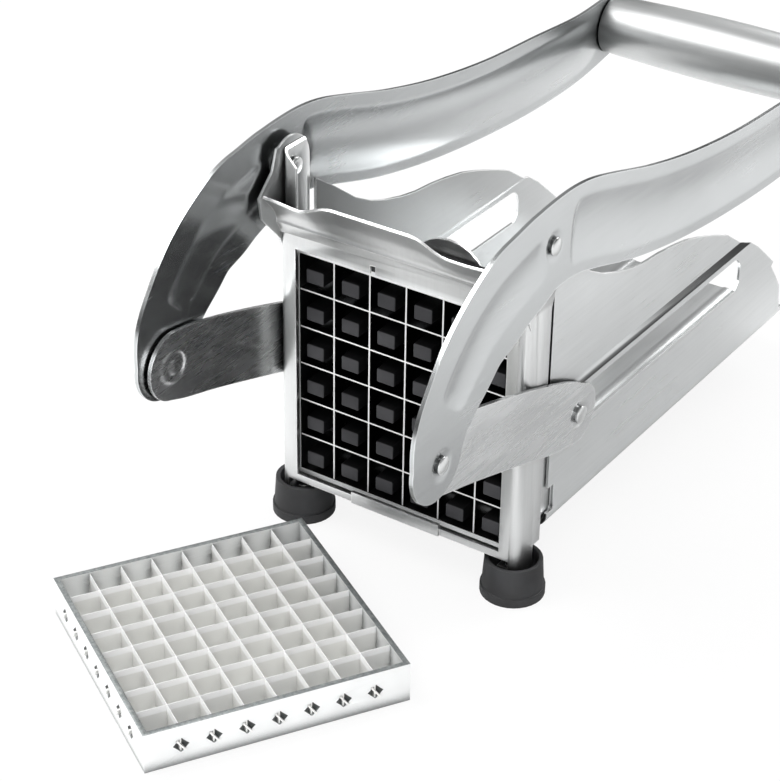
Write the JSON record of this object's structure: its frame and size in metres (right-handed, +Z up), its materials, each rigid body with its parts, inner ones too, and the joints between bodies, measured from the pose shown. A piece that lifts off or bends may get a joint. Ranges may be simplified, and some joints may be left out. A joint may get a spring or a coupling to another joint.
{
  "type": "french fry cutter",
  "caption": "Lever-operated potato chipper: slotted steel trough, blade grid, pegged pusher, two dished arms with a barrel handle, links, rubber feet and a spare grid.",
  "frame": {"origin": "middle of the underside of the whole object, spare insert included, on the table", "axes": "+Z up, -Y the cutting end, +Y along the trough to the handle, +X the right side"},
  "size_m": [0.1136, 0.3368, 0.1322],
  "materials": {
    "steel": "brushed stainless sheet",
    "blade": "bright rolled strip",
    "rivet": "polished",
    "plastic": "black moulded",
    "rubber": "black moulded"
  },
  "bodies": {
    "base": {"trough": "steel", "front_frame": "steel", "right_post": "steel", "left_post": "steel", "rear_leg": "steel", "right_foot": "rubber", "left_foot": "rubber", "rear_foot": "rubber", "right_foot_rivet": "rivet", "left_foot_rivet": "rivet", "rear_foot_rivet": "rivet", "right_pivot_rivet": "rivet", "left_pivot_rivet": "rivet", "right_pivot_spacer": "rivet", "left_pivot_spacer": "rivet"},
    "lever": {"left_arm": "steel", "right_arm": "steel", "left_crank_rivet": "rivet", "right_crank_rivet": "rivet", "handle_barrel": "steel", "tie_rod": "rivet"},
    "left_link": {"left_link": "steel"},
    "right_link": {"right_link": "steel"},
    "pusher": {"pusher_block": "plastic", "pusher_carrier": "steel", "axle": "rivet"},
    "mounted_insert": {"mounted_insert_frame": "steel", "mounted_upright_blade_1": "blade", "mounted_level_blade_1": "blade", "mounted_upright_blade_2": "blade", "mounted_level_blade_2": "blade", "mounted_upright_blade_3": "blade", "mounted_level_blade_3": "blade", "mounted_upright_blade_4": "blade", "mounted_level_blade_4": "blade", "mounted_upright_blade_5": "blade", "mounted_level_blade_5": "blade"},
    "loose_insert": {"loose_insert_frame": "steel", "loose_upright_blade_1": "blade", "loose_level_blade_1": "blade", "loose_upright_blade_2": "blade", "loose_level_blade_2": "blade", "loose_upright_blade_3": "blade", "loose_level_blade_3": "blade", "loose_upright_blade_4": "blade", "loose_level_blade_4": "blade", "loose_upright_blade_5": "blade", "loose_level_blade_5": "blade", "loose_upright_blade_6": "blade", "loose_level_blade_6": "blade", "loose_upright_blade_7": "blade", "loose_level_blade_7": "blade"}
  },
  "joints": [
    {"name": "lever_swing", "type": "hinge", "parent": "base", "child": "lever", "pos_m": [0.0085, -0.04017, 0.1183], "axis": [1, 0, 0], "range_deg": [0, 90]},
    {"name": "pusher_slide", "type": "slide", "parent": "base", "child": "pusher", "axis": [0, 1, 0], "range_m": [0, 0.09975]},
    {"name": "left_link_turn", "type": "hinge", "parent": "pusher", "child": "left_link", "pos_m": [0.0085, -0.01637, 0.052], "axis": [1, 0, 0], "range_deg": [0, 9.13]},
    {"name": "right_link_turn", "type": "hinge", "parent": "pusher", "child": "right_link", "pos_m": [0.0085, -0.01637, 0.052], "axis": [1, 0, 0], "range_deg": [0, 9.13]},
    {"name": "insert_seat_lift", "type": "slide", "parent": "base", "child": "mounted_insert", "axis": [0, 0, 1], "range_m": [0, 0.0024]},
    {"name": "spare_insert_lift", "type": "slide", "parent": "base", "child": "loose_insert", "axis": [0, 0, 1], "range_m": [0, 0.04]}
  ],
  "couplings": [
    {"joint": "pusher_slide", "follows": "lever_swing", "m_per_rad": 0.063377},
    {"joint": "left_link_turn", "follows": "lever_swing", "ratio": 0.10094},
    {"joint": "right_link_turn", "follows": "lever_swing", "ratio": 0.10094}
  ]
}
